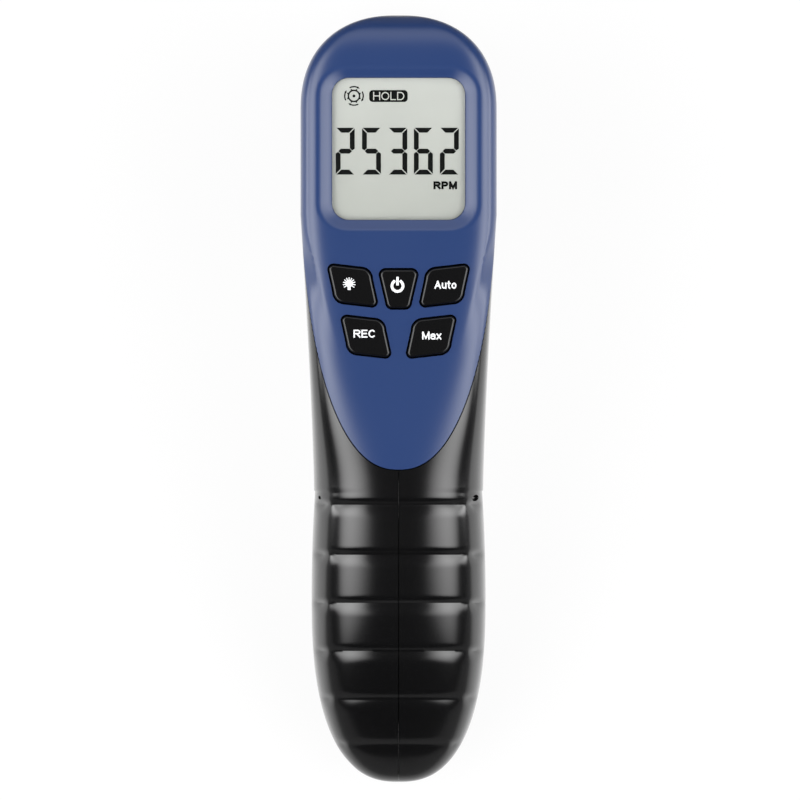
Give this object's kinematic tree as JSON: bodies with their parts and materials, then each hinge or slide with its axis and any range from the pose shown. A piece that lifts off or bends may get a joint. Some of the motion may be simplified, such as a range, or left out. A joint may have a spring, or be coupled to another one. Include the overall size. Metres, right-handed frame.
{
  "type": "laser tachometer",
  "caption": "Hand-held non-contact laser tachometer: bent body with a ribbed black grip, blue face panel, display, keys, a trigger and a round nose window.",
  "frame": {"origin": "under the middle of the body, on the surface that it lies on", "axes": "+X to the right of the display, +Y from the butt to the head, +Z out of the display"},
  "size_m": [0.053, 0.2078, 0.0766],
  "materials": {
    "black_casing": "satin black",
    "blue_panel": "satin blue",
    "clear_window": "gloss",
    "display_glass": "grey-green display",
    "white_plastic": "gloss",
    "strip_rubber": "matt",
    "board_green": "gloss",
    "mat_rubber": "matt",
    "key_black": "satin black",
    "trigger_black": "satin black",
    "steel": "plated",
    "dark_plastic": "matt black",
    "filter_glass": "dark red filter",
    "laser_brass": "turned",
    "lens_glass": "polished",
    "battery_case": "plain wrap"
  },
  "bodies": {
    "casing": {"left_shell": "black_casing", "right_shell": "black_casing", "battery_door": "black_casing", "face_panel": "blue_panel", "display_window": "clear_window", "lcd_glass": "display_glass", "backlight_plate": "white_plastic", "lcd_strips": "strip_rubber", "main_board": "board_green", "trigger_board": "board_green", "sensor_board": "board_green", "keypad_mat": "mat_rubber", "trigger_pin": "steel", "trigger_spring": "steel", "shell_screws": "steel", "board_screws": "steel", "door_screw": "steel", "trigger_switch": "dark_plastic", "nose_bezel": "dark_plastic", "optics_block": "dark_plastic", "photodiode": "dark_plastic", "battery_snap": "dark_plastic", "front_window": "filter_glass", "laser_module": "laser_brass", "receiver_lens": "lens_glass", "battery": "battery_case"},
    "light_key": {"key_light": "key_black"},
    "power_key": {"key_power": "key_black"},
    "auto_key": {"key_auto": "key_black"},
    "recall_key": {"key_recall": "key_black"},
    "max_key": {"key_max": "key_black"},
    "trigger_lever": {"trigger": "trigger_black"}
  },
  "joints": [
    {"name": "light_key_press", "type": "slide", "parent": "casing", "child": "light_key", "axis": [0, 0, -1], "range_m": [0, 0.0008], "stiffness_N_per_m": 600, "springref_m": -0.0008},
    {"name": "power_key_press", "type": "slide", "parent": "casing", "child": "power_key", "axis": [0, 0, -1], "range_m": [0, 0.0008], "stiffness_N_per_m": 600, "springref_m": -0.0008},
    {"name": "auto_key_press", "type": "slide", "parent": "casing", "child": "auto_key", "axis": [0, 0, -1], "range_m": [0, 0.0008], "stiffness_N_per_m": 600, "springref_m": -0.0008},
    {"name": "recall_key_press", "type": "slide", "parent": "casing", "child": "recall_key", "axis": [0, 0, -1], "range_m": [0, 0.0008], "stiffness_N_per_m": 600, "springref_m": -0.0008},
    {"name": "max_key_press", "type": "slide", "parent": "casing", "child": "max_key", "axis": [0, 0, -1], "range_m": [0, 0.0008], "stiffness_N_per_m": 600, "springref_m": -0.0008},
    {"name": "trigger_pull", "type": "hinge", "parent": "casing", "child": "trigger_lever", "pos_m": [0, 0.0249, 0.0372], "axis": [-1, 0, 0], "range_deg": [0, 9], "stiffness_Nm_per_rad": 0.3, "springref_deg": -6.88, "deforming": ["trigger_spring"]}
  ]
}
